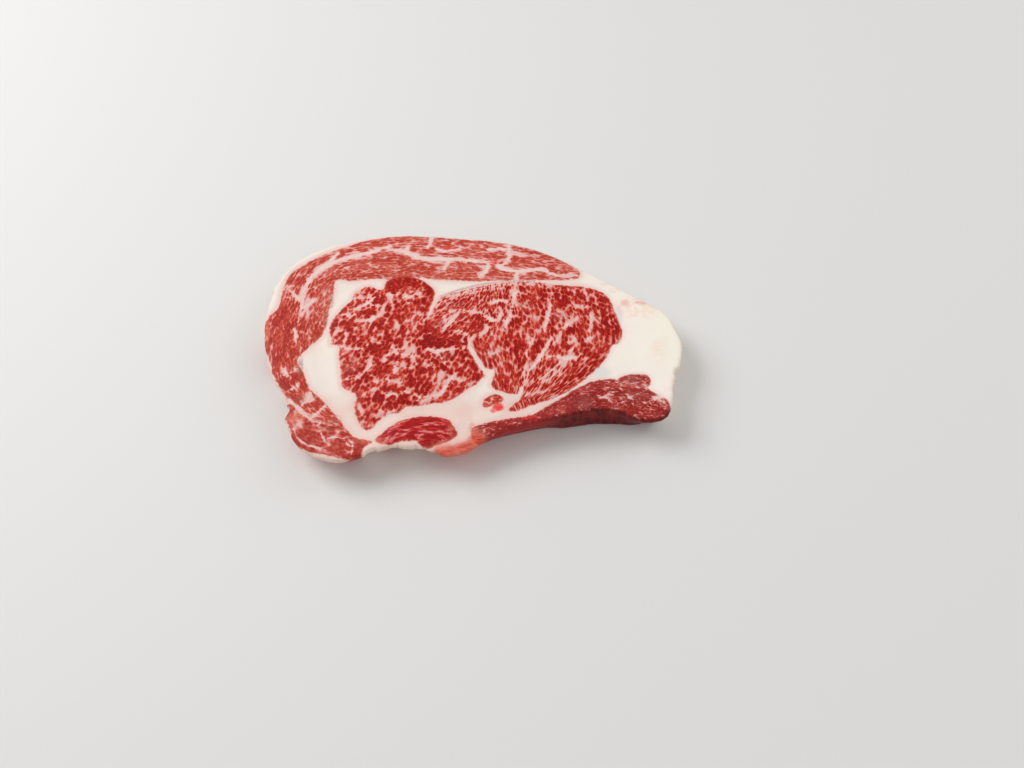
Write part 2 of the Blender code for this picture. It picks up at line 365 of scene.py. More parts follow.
# --- White veins ------------------------------------------------------------
# Fat that runs between the bundles.  The wide branches are laid one by one, as
# points with a half width; the fine net between them comes with the raw beef.
REACH = 4.0               # how far off a branch can still be felt
vein = np.full(len(points), -9.0)      # how far in from a branch's edge
branches = (
    # left lobe
    ((-70, 21, .7), (-65, 22.5, .9), (-60.5, 26, 1.6), (-58, 29, 1.2), (-60, 31, .6)),
    ((-60, 26.5, 1.2), (-57, 24, .9), (-53.5, 23.5, .5)),
    ((-69, 30, .5), (-64, 29.5, .6), (-58, 29.5, .9), (-54, 30.5, .4)),
    ((-66, 12.5, .5), (-61, 13, .9), (-57, 14.5, 2.0), (-54, 16.5, 1.2), (-51.5, 20.5, .7),
     (-50.5, 26, .4)),
    ((-57, 14, 1.2), (-58, 10.5, .8), (-59.5, 6, .4)),
    ((-62, 13, .5), (-65.5, 9, .4), (-67, 4, .3)),
    ((-49.5, 32, .8), (-46.5, 31.5, 1.2), (-43.5, 31.8, .6)),
    ((-47, 31, .8), (-47.2, 27, .6), (-46, 24, .3)),
    ((-38.5, 30.5, 1.4), (-36.5, 30, 1.0), (-33, 32.5, .6), (-30, 33.5, .4)),
    ((-37.5, 36.5, .8), (-36, 33.5, .5)),
    ((-43, 11.5, .7), (-43, 8.5, 1.1), (-44.5, 6, .6)),
    ((-38, 24.3, .5), (-36.6, 25.6, .9)),
    ((-40, 13, .5), (-37, 12.5, .4), (-33, 16, .3)),
    ((-49, -16, .5), (-47.5, -11.5, .9), (-44, -9, .9), (-39.5, -10.5, .9), (-35, -11, .8),
     (-31.5, -13.5, .9),
     (-30.5, -17, .5)),
    ((-41, -15, .4), (-38.5, -18, .8), (-35, -19.5, .7), (-32.5, -19, .4)),
    ((-43, -18, .8), (-42.3, -21.5, 1.2), (-43, -24, .6)),
    ((-69, -27, .7), (-66, -26.5, 1.0), (-62, -25.5, .8), (-58.5, -21, .8), (-56.5, -17.5, 1.3),
     (-58, -13.5, .7),
     (-61, -10, .4)),
    ((-57, -18, .9), (-56, -23, .4), (-54, -27, .3)),
    ((-73.5, -4.5, .8), (-69, -6.5, .9), (-64, -7, .8), (-60, -5, .6), (-56.5, -1, .5)),
    ((-56, -2, .4), (-50, -3, .6), (-46, -5, .9), (-42.5, -7.5, 1.1), (-38.5, -6.5, .8), (-36, -2, .5)),
    ((-53.5, -28.5, 1.1), (-51, -29.5, .8)),
    ((-54, -33.5, .9), (-55, -36, .4)),
    ((-48, -36, .7), (-45.5, -37.5, 1.0), (-42, -36.5, .9), (-40, -38.5, .4)),
    ((-37.5, -34.5, .9), (-34.5, -35.5, .8)),
    ((-47, -27, .5), (-43.5, -28.5, .6), (-40, -29.5, .9), (-38, -28.5, .5)),
    ((-77.5, 4.5, .6), (-75, 6, .8), (-72, 4.5, .6), (-71, 1, .5), (-72.5, -2, .5)),
    ((-76, 17.5, .6), (-73, 18, .9), (-69.5, 17, .7), (-66, 18, .4)),
    ((-71, 17, .5), (-70, 13, .4)),
    ((-61, -44, .5), (-58.5, -50, .5), (-55.5, -56.5, .4)),
    ((-51, -45, .4), (-46, -48.5, .6), (-41, -46, .5)),
    ((-3, -6.2, .8), (-8, -6.2, .7), (-14.5, -7.3, 1.0), (-20, -8.8, 1.7), (-24, -6.8, 1.2), (-27, -7, .5)),
    ((-19, -9.5, 1.5), (-17, -13, .8), (-14.5, -17.5, .9), (-13, -18.5, .5)),
    ((-23, -15, .5), (-22, -17.5, 1.2), (-24.5, -18.5, .7)),
    ((-9, -23.5, .6), (-11.5, -26.5, 1.5), (-14, -31, 1.3), (-16.5, -36, 1.2), (-21, -37.5, .9),
     (-28, -38.5, .8),
     (-32, -36, .4)),
    ((-9.5, -25.5, .5), (-6, -27.5, .9), (-3, -27, .4)),
    ((-20, -38, .5), (-27, -41, .6), (-33, -39.5, .4)),
    ((-34, -4, .5), (-32.5, -8, .5), (-31, -12, .6)),
    ((-26.5, 3, .6), (-23.5, 4, .9), (-22, 1.5, .4)),
    ((-37, 6, .4), (-35, 1, .4)),
    # seam between the lobes, a thin double membrane
    ((-30, 10.5, .5), (-25.6, 16, .7), (-22.4, 24, .8), (-20.5, 29.5, 1.0)),
    # right lobe
    ((-8, 19, .6), (-10.5, 15.5, 1.2), (-13.5, 11, 1.5), (-16, 8, 1.0), (-17.5, 6, .4)),
    ((-16.5, 18, .5), (-16, 14, .8), (-14.5, 11.5, 1.0)),
    ((-13, 19, .5), (-8, 21, .6), (-3, 20, .6), (2, 21, .4)),
    ((-10, 6, .5), (-6.5, 5.5, 1.0), (-3.5, 3.5, .8), (-2, 0, .6), (-4, -2, .5)),
    ((-1, 19, .6), (5, 18.5, .8), (8, 16, 1.2), (11.5, 13, 1.8), (14.5, 14.5, 1.2), (16, 18, .8),
     (15, 22, .5)),
    ((9.5, 24.5, .6), (12, 26.5, 1.0), (16, 27.5, 1.1), (19.5, 27, .6)),
    ((18.5, 8, .8), (19.5, 12, 1.9), (21, 15, 1.3), (22, 18.5, .8), (22.5, 23, .7), (23.5, 28, .9),
     (24, 32.5, 1.7), (26.5, 34, 1.0)),
    ((7, 10, .8), (8.5, 7, 1.0), (6, 4.5, .7), (3, 2, .6)),
    ((9, 6, .8), (12, 3, .7), (13, 0, .4)),
    ((-1.5, -5.5, 1.2), (-1, -1, 1.0), (0.5, 2, .5)),
    ((-2, -6, 1.2), (1, -9, 1.0), (3.5, -13, 1.2), (6, -17.5, .9), (8.5, -21, 1.2)),
    ((46, 33, .4), (44.8, 29, .6), (44, 22, 1.1), (43, 16, 1.3), (41.5, 10, 1.1), (40.5, 5, .6)),
    ((46, 3, .5), (43.5, -1, .8), (41.5, -6, 1.2), (38, -12, 1.6), (36, -16.5, 1.5), (33, -20, .7),
     (31, -25, .7),
     (29, -30, 1.2)),
    ((31.5, 2, .5), (32.5, -3, 1.0), (34, -1, .6), (34.5, 4, .4)),
    ((30.5, -9, .5), (30.5, -15, .8), (30, -20, .9), (29, -26, .6)),
    ((43, -12, .9), (47, -11.5, 1.0), (51, -13.5, 1.7), (55, -12.5, 1.6), (59.5, -11.5, 1.1), (61, -8, .4)),
    ((50.5, -14, 1.5), (47.5, -18, 1.1), (43.5, -22, .7), (38, -27, .5)),
    ((53, -15.5, .7), (49.5, -20, .6), (44, -25.5, .7), (40, -28.5, .4)),
    ((66, 24, .5), (64, 23, 1.0), (61, 24.5, .9), (59, 22, .5)),
    ((67.5, 19, .5), (67.5, 13, 1.1), (66.5, 7, .8), (66, 3, .4)),
    ((54, -2, .5), (57, -1, .9), (59, 2, .5)),
    ((46, -3, .8), (48, 0, .6), (50, 4, .4)),
    ((52, 8, .8), (54, 10.5, 1.3), (57.5, 13, .5), (60, 16, .5)),
    ((68, 2, .6), (66, 1, 1.0), (64, -1, .4)),
    ((57, -6, .6), (55, -9, .6)),
    ((15, -8, .5), (12, -10, .8), (8, -9.5, .6)),
    ((30, -37.5, .6), (36, -36, .4), (42, -33.5, .3)),
    ((-22, 23, .4), (-15, 28.5, .5), (-5, 32.5, .4), (8, 35.5, .4), (18, 37, .3)),
    # cap
    ((-99.5, 12, .5), (-98.5, 22, .9), (-98.5, 30, 1.2), (-97.5, 37, 1.4), (-95.5, 43, 1.2), (-92, 48, 1.4),
     (-86.5, 53, 1.6), (-82, 56, 1.1), (-76, 58.5, 1.1), (-70, 60.5, 1.0), (-63, 62.5, .9), (-57, 65, .6),
     (-50, 68, .4)),
    ((-98.5, 28, 1.0), (-102.5, 31, .9), (-105.5, 34.5, .6)),
    ((-97, 23, .6), (-94.5, 25, .5), (-92, 28, .4)),
    ((-86, 53.5, 1.2), (-83.5, 58, .7), (-80, 63, .4)),
    ((-46, 65.5, .5), (-42, 64, 1.4), (-38, 62, 1.3), (-33, 59.5, 1.5), (-27, 58.3, 1.3), (-20, 58.3, 1.2),
     (-12, 58.5, 1.1), (-4, 57.5, .9), (4, 56.8, .9), (10, 56, .6)),
    ((-40, 65, 1.2), (-38.5, 68, .6)),
    ((-42, 63.5, .7), (-50, 66, .5), (-58, 66, .4)),
    ((-22, 66, .5), (-17, 64.5, .4), (-8, 66.5, .3)),
    ((-15, 58, .8), (-15.5, 54.5, .6), (-18, 51, .5)),
    ((8.5, 55.5, .7), (8, 51, .8), (6, 48, .6), (3.5, 45.5, .7)),
    ((14, 55, .6), (15.5, 52, .8), (20, 50.3, .9), (26, 49.5, .8), (34, 50.3, .9), (42, 50.5, .9),
     (43, 47.5, .5)),
    ((20.5, 70, .8), (20.5, 64, .9), (20.5, 59, .9), (18, 55, .6), (15.5, 53, .8)),
    ((25.5, 49, .7), (25, 46, .8), (25, 43, .6)),
    ((-25.5, 74.5, 1.0), (-26, 70, .8), (-28, 67.5, .5)),
    ((44, 47.5, .7), (50, 46.5, .6), (60, 46.8, .6)),
    ((9, 65.5, .6), (14, 66, .8), (20, 66, .9)),
    ((-101, 7, .6), (-100, 4, 1.2), (-100, 0.5, 1.0), (-99.5, -1, .4)),
    ((-105, -19, .7), (-103.5, -22, 1.2), (-102, -24.5, .8)),
    ((-100, -40, .2), (-96, -44, .3), (-91, -48.5, .3), (-85, -52.5, .4), (-80, -54.5, .3), (-74, -56, .1)),
    # cap, where it narrows round the lower left
    ((-106, -24, .3), (-101.5, -22.5, .4), (-97, -19, .3)),
    ((-103, -34.5, .3), (-99, -33, .5), (-95.5, -29.5, .3)),
    ((-92.5, -43, .3), (-90, -40, .5), (-88.5, -35, .3)),
    ((-86, -50, .3), (-82.5, -46.5, .4), (-80, -43, .3)),
    # pale band under the upper edge of the right lobe
    ((-19, 28.4, .3), (-14, 30.8, .6), (-6, 33.6, .6), (3, 36.8, .6), (13, 39, .5), (25, 40.3, .5),
     (42, 39.3, .3)),
    # lower left lobe
    ((-83, -56, .1), (-81, -59.5, .2), (-79, -64.5, .25), (-76, -68, .1)),
    ((-77, -64, .2), (-73, -63, .3), (-68, -64.5, .2), (-65, -69, .2)),
    ((-95.5, -58, .2), (-93, -63.5, .3), (-88, -67.5, .3), (-82, -69.5, .4), (-77, -71.5, .3)),
    ((-64, -66, .3), (-62.8, -70, .5), (-63.5, -74.5, .4)),
    # lower middle muscle
    ((-42, -65, .3), (-38.6, -61, .35), (-34, -59.7, .35), (-28.5, -60.2, .35), (-19, -60.6, .3),
     (-11, -59.8, .2)),
    ((-30, -58.2, .3), (-24, -56.3, .35), (-18, -56.2, .3), (-13, -56.7, .2)),
    ((-28.5, -65, .5), (-27, -63.3, .4), (-23.7, -61.5, .35), (-19, -61.7, .3), (-16.2, -64, .35),
     (-14.2, -66.5, .35)),
    ((-39, -64.5, .3), (-35.5, -62.5, .4), (-32, -60, .3)),
    ((-46.5, -67, .5), (-44.5, -64.5, .4), (-44, -60.5, .3)),
    ((-44, -60, .4), (-38, -54.8, .3), (-33, -52.5, .3)),
    # lower right muscle
    ((74.5, -31, .1), (78, -34, .2), (77, -38, .15), (75, -41, .0)),
    ((79.5, -43, .1), (84.5, -40, .3), (89, -37, .35), (94, -34.5, .35), (99, -33.2, .3)),
    ((60, -33, .25), (60.3, -45, .25)),
    ((80, -27.5, .1), (85, -29.8, .3), (91, -31.2, .4), (97, -32.4, .4)),
    ((106, -36.5, 1.5), (103, -38, 1.1), (99, -40, .5), (94, -41.5, .2), (87, -44, .0)),
    ((108.5, -40.5, .4), (103.5, -42.8, .2), (98, -46, .0)),
)
for branch in branches:
    knots = np.array(branch, float)
    low = knots[:, :2].min(axis=0) - REACH
    high = knots[:, :2].max(axis=0) + REACH
    near = np.all((plan > low) & (plan < high), axis=1)
    far, _, _, half = to_line(plan[near], rounded(branch, closed=False, step=1.0))
    vein[near] = np.maximum(vein[near], half - far)
vein += kind @ (0.75, 0.4, 0.35)       # broader in the cap and the chain than in the eye


# --- Shades and marks -------------------------------------------------------
# No muscle is marbled evenly: here and there it is barer and darker, or finer
# veined and paler.  On the cut lie beads of blood, coral stains and membrane.
def spot(x, y, across, down=None):
    """1 at the middle of an oval spot, fading to 0 a little past its edge."""
    reach = ((plan[:, 0] - x) / across) ** 2 + ((plan[:, 1] - y) / (down or across)) ** 2
    return 1.0 - blend(reach, 0.3, 1.9)


def strongest(*rows):
    """The strongest of several spots at each point, by place, half width, half height and strength."""
    return np.maximum.reduce([strength * spot(x, y, across, down) for x, y, across, down, strength in rows])


def stroke(line, half, strength):
    """A soft stroke along a line: its strength on the line, fading over about its half width."""
    return strength * np.exp(-(to_line(plan, np.array(line))[0] / half) ** 2)


for x, y, size, change in (
    # finer veined places in the eye, then barer ones
    (-66, -17, 6, .05), (-37, 36, 5, .1), (-12, -13, 6, .05), (-12, 26, 6, .06), (29, 24, 7, .08),
    (52, 17, 6, .12), (13, -9, 6, .06), (-21, 13, 5, .05), (20, 30, 5, .06), (63, 4, 8, .04),
    (-47, 38, 5, -.3), (-39, 42, 5, -.34), (-24, 7, 6, -.3), (-22, -2, 6, -.26), (-50, -8, 5, -.24),
    (3, 13, 5, -.24), (-9, 0, 6, -.24), (2, -11, 5, -.24), (27, -6, 5, -.2), (37, -6, 4, -.26),
    (45, -15, 4, -.24), (33, 29, 5, -.22), (49, 26, 5, -.2), (-45, -22, 4, -.16), (-54, 27, 4, -.24),
    (-43, 27, 4, -.18), (70, -15, 6, -.14), (72, 8, 7, -.12),
    # cap, which is barest down the left side
    (-105, 16, 9, -.24), (-106, -4, 10, -.24), (-98, -28, 8, -.16), (-103.5, -29, 3.2, -.3),
    (-98.6, -26, 3, -.26), (-94.5, -38.5, 3.4, -.3), (-84, -43, 3.4, -.3), (-77, -49.5, 3, -.26),
    # lower left lobe, bare in blotches and pale between them
    (-87.5, -61.5, 4.5, -.55), (-70.5, -67.5, 4, -.55), (-59.5, -71.5, 3.6, -.5), (-94, -51, 5, .22),
    (-84, -56.5, 4, .16), (-74, -61, 3.5, .1), (-79, -70, 3, .12), (-95, -63, 3, .1),
    # lower middle and lower right muscles
    (-21.6, -65.6, 4.5, -.4), (-33, -62.5, 3, -.3), (103.5, -37.5, 4, .3), (103, -41, 6, .12),
    (60, -44, 10, -.08),
):
    marbling += change * spot(x, y, size)

blood = strongest(
    (15, -44.5, 3.2, 2.6, 1.0), (12.5, -46.5, 2.2, 2.0, 0.8), (-14, 67, 5.0, 1.4, 0.7),
    (1, 66, 2.4, 1.2, 0.5), (12, 55.8, 3.4, 1.6, 0.75), (5, 57, 1.6, 1.2, 0.45),
    (32, -51, 6.0, 2.2, 0.55), (-50, -66.5, 4.0, 1.6, 0.3), (57, 13.5, 1.2, 1.2, 0.35),
    (45, 22, 1.6, 1.6, 0.25))

coral = np.maximum.reduce([
    # the tab at the front, and a thread in the fat at the back right
    stroke(((-16.0, -72.5), (-7.0, -71.0), (0.0, -68.5), (3.0, -64.5)), 5.2, 1.0),
    stroke(((93.0, 32.0), (99.0, 26.0), (104.0, 22.5)), 1.3, 0.30),
    strongest(
        (-0.5, -66, 5.0, 2.8, 0.4), (-95, -50.5, 5.5, 3.0, 0.4), (-117.5, 2, 3.0, 12.0, 0.35),
        (-80, -58.5, 6.0, 2.0, 0.3), (-10.5, -60, 2.6, 5.0, 0.3), (-48, -66, 4.0, 2.4, 0.35),
        (88, 27, 3.4, 3.0, 0.5), (94, 24, 13.0, 8.0, 0.3), (97, 27.5, 5.0, 1.6, 0.55),
        (0, -43, 9.0, 9.0, 0.08), (83.5, 2, 1.2, 3.0, 0.4), (82, 36, 4.0, 2.0, 0.3),
        (76, 40, 3.0, 1.6, 0.3), (104, -8, 5.0, 9.0, 0.16), (1, -58, 2.0, 6.0, 0.5),
        (-57, -66, 5.0, 2.5, 0.25))])

film = np.maximum.reduce([
    # the membrane between the cap and the right lobe
    stroke(rounded(((-19, 30.8), (-10, 35.2), (0, 38.8), (10, 41), (22, 42.6), (36, 42.6)), closed=False),
           0.7, 1.0),
    strongest(
        (-81.4, 28, 1.0, 5.0, 1.0), (-83.8, 14, 0.9, 6.5, 0.9), (-95.5, -18, 1.6, 6.5, 0.9),
        (-102.5, -39.5, 2.4, 2.6, 0.9), (-73, -52, 2.6, 3.2, 0.6), (-93, -40, 4.0, 3.0, 0.5),
        (-78, -57, 4.0, 2.0, 0.45), (-66.9, -17.9, 3.6, 5.0, 0.5), (-19.4, 10.7, 4.0, 3.4, 0.45),
        (-15, -11.2, 5.0, 3.0, 0.5), (-11, 24, 6.0, 3.0, 0.4), (30.5, 22.8, 5.0, 3.5, 0.4),
        (11.3, -9.4, 4.4, 3.6, 0.45), (50, 15.6, 5.0, 4.0, 0.4), (90, -26, 6.0, 2.6, 0.7),
        (62, -42, 6.0, 5.0, 0.5), (90, -38, 9.0, 4.0, 0.4))])
film *= 1.0 - wall

# Greyish, glassy fat beside the right lobe.
glassy = strongest((83.5, 16, 2.0, 9.0, 1.0), (72, -21, 5.0, 3.2, 0.9))


def store(name, values):
    """Write three values to every vertex of the slice, for the material to read."""
    layer = steak.data.attributes.new(name, "FLOAT_VECTOR", "POINT")
    layer.data.foreach_set("vector", values.astype(np.float32).ravel())


store("fibre", fibre)
store("kind", kind)
store("cut", np.column_stack((lean, vein, marbling)))
store("marks", np.column_stack((blood, coral, film)))
store("cover", np.column_stack((wall, glassy, meeting)))
store("plan", np.column_stack((plan, points[:, 2])))


# --- Relief -----------------------------------------------------------------
# Each muscle swells a little out of the cut and the seams sink beside it; the
# wall is uneven, with upright folds where the fibres and the fat were cut.
UPPER_CUT = 17.4          # above this, the wall has turned into the upper cut
MUSCLE_RISE = 0.30
SEAM_DIP = 0.22
VEIN_DIP = 0.14
LEFT_END = -58.0          # the middles of the slice's two round ends
RIGHT_END = 62.0

top = blend(points[:, 2], UPPER_CUT - 1.5, UPPER_CUT) * blend(normals[:, 2], 0.5, 0.9)
swell = MUSCLE_RISE * blend(lean, -0.4, 4.0) - SEAM_DIP * np.exp(-((lean + 0.2) / 0.9) ** 2)
swell -= VEIN_DIP * blend(vein, -0.6, 0.8) * (lean > 0.6)
rolling = 0.30 * mottle(points, 22.0, 3) + 0.12 * mottle(points, 6.0, 4) + 0.05 * mottle(points, 2.2, 5)
shape = points.copy()
shape[:, 2] += top * (swell + rolling)
upright = points * np.array((1.0, 1.0, 0.35))
folds = 0.55 * mottle(upright, 9.0, 6) + 0.30 * mottle(upright, 3.6, 7) + 0.14 * mottle(points, 1.8, 8)
above_base = blend(points[:, 2], 0.4, 4.0)
spine = np.column_stack((np.clip(points[:, 0], LEFT_END, RIGHT_END), np.zeros(len(points))))
away = points[:, :2] - spine
away /= np.maximum(np.hypot(away[:, 0], away[:, 1]), 1.0)[:, None]
at_edge = np.maximum(wall, 1.0 - blend(edge_far, 0.5, 5.0)) * above_base
for x, y, size, amount in (      # nicks and tags of the trimmed edge
    (-101.5, -46, 2.6, -1.8), (-102, -50.5, 2.2, 1.3), (113.5, -20, 2.6, -1.2), (-114, -19, 3.0, -0.9),
    (-53, -71.5, 3.0, -1.3), (-34, -69, 4.0, 0.9), (111, 20, 5.0, 0.9), (-115.5, 38, 2.0, 0.7),
    (-13, -74, 4, .6),
):
    folds += amount * spot(x, y, size)
shape[:, :2] += away * (at_edge * folds)[:, None]
steak.data.vertices.foreach_set("co", (shape * MM).ravel())
steak.data.update()


# --- Layout of the surface for baking ----------------------------------------
# The upper cut lies flat over most of the square, the base flat at half its
# size under it, and the wall in four strips beside the base.
SIDE = 1024               # the square's side, which the places and sizes below are parts of
CUT_AT, CUT_SCALE = (512, 683), 4.12
BASE_AT, BASE_SCALE = (262, 174), 2.06
WALL_AT, WALL_SCALE = (532, 16), 2.9
STRIPS, STRIP_STEP = 4, 82
END_RADIUS = 55.0         # of the slice's round ends

sheet = steak.data.uv_layers.new(name="OFBake")

# Which way each face looks, and the vertex and the face that each corner belongs to.
faces = len(steak.data.polygons)
turned = np.zeros(faces * 3)
steak.data.polygons.foreach_get("normal", turned)
turned = turned.reshape(-1, 3)[:, 2]
starts = np.zeros(faces, int)
steak.data.polygons.foreach_get("loop_start", starts)
counts = np.zeros(faces, int)
steak.data.polygons.foreach_get("loop_total", counts)
corner = np.zeros(len(steak.data.loops), int)
steak.data.loops.foreach_get("vertex_index", corner)
owner = np.repeat(np.arange(faces), counts)


def way_round(p):
    """How far round the slice a point is, as if the slice had straight sides and half-round ends."""
    ends = np.clip(p[:, 0], LEFT_END, RIGHT_END)
    bearing = np.arctan2(p[:, 1], p[:, 0] - ends) % (2 * np.pi)
    straight = np.where(p[:, 1] >= 0.0, RIGHT_END - ends, RIGHT_END - 2 * LEFT_END + ends)
    return END_RADIUS * bearing + straight


rim_way = np.sort(way_round(rim))
rim_steps = rim[np.argsort(way_round(rim))]
rim_steps = np.hypot(*np.diff(rim_steps, axis=0, append=rim_steps[:1]).T)
rim_length = rim_steps.sum()
travel = np.interp(way_round(shape), rim_way, np.concatenate(((0.0,), np.cumsum(rim_steps)[:-1])))

# The corners of a face keep together where the way round ends and starts again.
first = travel[corner[starts]][owner]
round_by = first + (travel[corner] - first + rim_length / 2) % rim_length - rim_length / 2
strip = np.minimum(first // (rim_length / STRIPS), STRIPS - 1)

x, y, z = shape[corner].T
u = (CUT_AT[0] + x * CUT_SCALE) / SIDE
v = (CUT_AT[1] + y * CUT_SCALE) / SIDE
under = turned[owner] < -0.5
u[under] = ((BASE_AT[0] + x * BASE_SCALE) / SIDE)[under]
v[under] = ((BASE_AT[1] + y * BASE_SCALE) / SIDE)[under]
around = np.abs(turned[owner]) <= 0.5
u[around] = ((WALL_AT[0] + (round_by - strip * rim_length / STRIPS) * WALL_SCALE) / SIDE)[around]
v[around] = ((WALL_AT[1] + strip * STRIP_STEP + z * WALL_SCALE) / SIDE)[around]
sheet.data.foreach_set("uv", np.column_stack((u, v)).ravel())


# --- Raw beef ---------------------------------------------------------------
# Moist cut meat: deep red bundles in a net of pinkish fat that whitens where
# it is thick, coral at the thin edges, with a low wet shine over all of it.
def add(tree, kind_of, wires=None, **settings):
    """Place a node: its own settings by name, and its sockets by name or number."""
    item = tree.nodes.new(kind_of)
    for key, value in settings.items():
        setattr(item, key, value)
    for socket, value in (wires or {}).items():
        if isinstance(value, bpy.types.NodeSocket):
            tree.links.new(value, item.inputs[socket])
        else:
            item.inputs[socket].default_value = value
    return item


def maths(tree, operation, first, second=0.0, third=0.0):
    """One step of arithmetic on values."""
    return add(tree, "ShaderNodeMath", {0: first, 1: second, 2: third}, operation=operation).outputs[0]


def ramp(tree, value, low, high, start=0.0, end=1.0):
    """An eased climb from start to end as the value goes from low to high."""
    wires = {0: value, 1: low, 2: high, 3: start, 4: end}
    return add(tree, "ShaderNodeMapRange", wires, interpolation_type="SMOOTHSTEP").outputs[0]


def between(tree, share, first, second):
    """A mix of two colours."""
    wires = {0: share, 6: first, 7: second}
    return add(tree, "ShaderNodeMix", wires, data_type="RGBA").outputs[2]


def lumps(tree, vector, scale, detail=2.0, rough=0.5):
    """Soft random values, 0 to 1, so many lumps to a unit of the vector."""
    wires = {"Vector": vector, "Scale": scale, "Detail": detail, "Roughness": rough}
    return add(tree, "ShaderNodeTexNoise", wires)


def shades(tree, value, *stops):
    """A run of colours, each at its place."""
    item = add(tree, "ShaderNodeValToRGB", {0: value})
    band = item.color_ramp
    while len(band.elements) < len(stops):
        band.elements.new(0.5)
    for element, (place, colour) in zip(band.elements, stops):
        element.position = place
        element.color = linear(*colour)
    return item.outputs[0]


net = bpy.data.node_groups.new("fat_net", "ShaderNodeTree")
net.interface.new_socket("Fibre", in_out="INPUT", socket_type="NodeSocketVector")
net.interface.new_socket("Coverage", in_out="INPUT", socket_type="NodeSocketFloat")
net.interface.new_socket("Fat", in_out="OUTPUT", socket_type="NodeSocketFloat")
enter = net.nodes.new("NodeGroupInput").outputs


def strayed(scale, reach):
    """The fibre coordinates, pulled about by soft noise."""
    pull = lumps(net, enter["Fibre"], scale, 2.0).outputs[1]
    pull = add(net, "ShaderNodeVectorMath", {0: pull, 1: (0.5, 0.5, 0.5)}, operation="SUBTRACT").outputs[0]
    wires = {0: pull, 1: (reach, reach, reach * 0.4), 2: enter["Fibre"]}
    return add(net, "ShaderNodeVectorMath", wires, operation="MULTIPLY_ADD").outputs[0]


def clumps(vector, scale, softness):
    """Rounded clumps: 0 at the middle of each, climbing to the gaps between them."""
    wires = {"Vector": vector, "Scale": scale, "Smoothness": softness}
    return add(net, "ShaderNodeTexVoronoi", wires, feature="SMOOTH_F1").outputs[0]


# Threads of fat wind between the bundles, and wider lakes lie every few bundles.
rich = maths(net, "SUBTRACT", enter["Coverage"], 0.5)
uneven = maths(net, "SUBTRACT", lumps(net, enter["Fibre"], 0.42, 2.0).outputs[0], 0.5)
twisted = strayed(0.8, 0.9)
threads = maths(net, "MULTIPLY_ADD", uneven, 0.62, clumps(twisted, 1.0, 0.2))
threads = ramp(net, maths(net, "MULTIPLY_ADD", rich, 0.6, threads), 0.37, 0.98, 0.0, 0.95)
lakes = maths(net, "MULTIPLY_ADD", uneven, 0.35, clumps(strayed(0.33, 1.6), 0.34, 0.08))
lakes = ramp(net, maths(net, "MULTIPLY_ADD", rich, 0.5, lakes), 0.68, 0.94)
white = maths(net, "MAXIMUM", threads, lakes)

# The lean between them is tinted by a finer grain, more in some drifts than in others.
grain = ramp(net, clumps(twisted, 2.1, 0.25), 0.2, 0.9)
drifts = maths(net, "SUBTRACT", lumps(net, enter["Fibre"], 0.2, 1.0).outputs[0], 0.42)
tint = maths(net, "MULTIPLY_ADD", grain, 0.35, maths(net, "MULTIPLY", drifts, 0.9))
tint = ramp(net, tint, 0.0, 1.0, 0.0, 0.7)
red = maths(net, "SUBTRACT", 1.0, white)
leave = net.nodes.new("NodeGroupOutput").inputs
net.links.new(maths(net, "MULTIPLY_ADD", red, tint, white), leave["Fat"])

# Colours: the lean's pale veins, the bare wall with painted shade, the lean's edge, the fat by its place,
# and the marks.
vein_white = linear(235, 207, 200)
wall_shade_dark = linear(62, 2, 2)
wall_shade_mid = linear(128, 18, 13)
wall_less_shade = linear(172, 32, 30)
lean_edge = linear(206, 84, 62)
suet_thin = linear(235, 206, 198)
suet_thick = linear(239, 228, 218)
suet_right = linear(248, 241, 226)
suet_front = linear(234, 198, 188)
suet_warm = linear(240, 214, 199)
suet_blush = linear(249, 236, 229)
suet_glassy = linear(219, 217, 219)
rind_pale = linear(240, 219, 201)
rind_deep = linear(227, 191, 170)
membrane = linear(156, 112, 106)
coral_deep = linear(196, 44, 22)
coral_bright = linear(223, 96, 72)
coral_faint = linear(247, 166, 140)
bead = linear(239, 52, 55)

beef = bpy.data.materials.new("raw_beef")
beef.use_nodes = True
tree = beef.node_tree
skin = tree.nodes["Principled BSDF"]


def stored(name):
    """The three values stored on the slice under a name."""
    source = add(tree, "ShaderNodeAttribute", attribute_name=name)
    return source.outputs["Vector"]


def parts(vector):
    """Three values, one by one."""
    return add(tree, "ShaderNodeSeparateXYZ", {0: vector}).outputs


place = add(tree, "ShaderNodeTexCoord").outputs["Object"]
depth_in, vein_in, coverage = parts(stored("cut"))
is_cap, is_crimson, is_maroon = parts(stored("kind"))
has_blood, has_coral, has_film = parts(stored("marks"))
on_wall, is_glassy, at_meeting = parts(stored("cover"))
plan_x, plan_y, _ = parts(stored("plan"))

# Ragged edges on the muscles.
ragged = lumps(tree, place, 420.0, 3.0, 0.6).outputs[0]
ragged = maths(tree, "SUBTRACT", ragged, 0.5)
fine = maths(tree, "SUBTRACT", lumps(tree, place, 1300.0, 1.0).outputs[0], 0.5)
edge = maths(tree, "MULTIPLY_ADD", ragged, 2.2, depth_in)
edge = maths(tree, "MULTIPLY_ADD", fine, 0.6, edge)
outside = ramp(tree, edge, -0.55, 0.55, 1.0, 0.0)

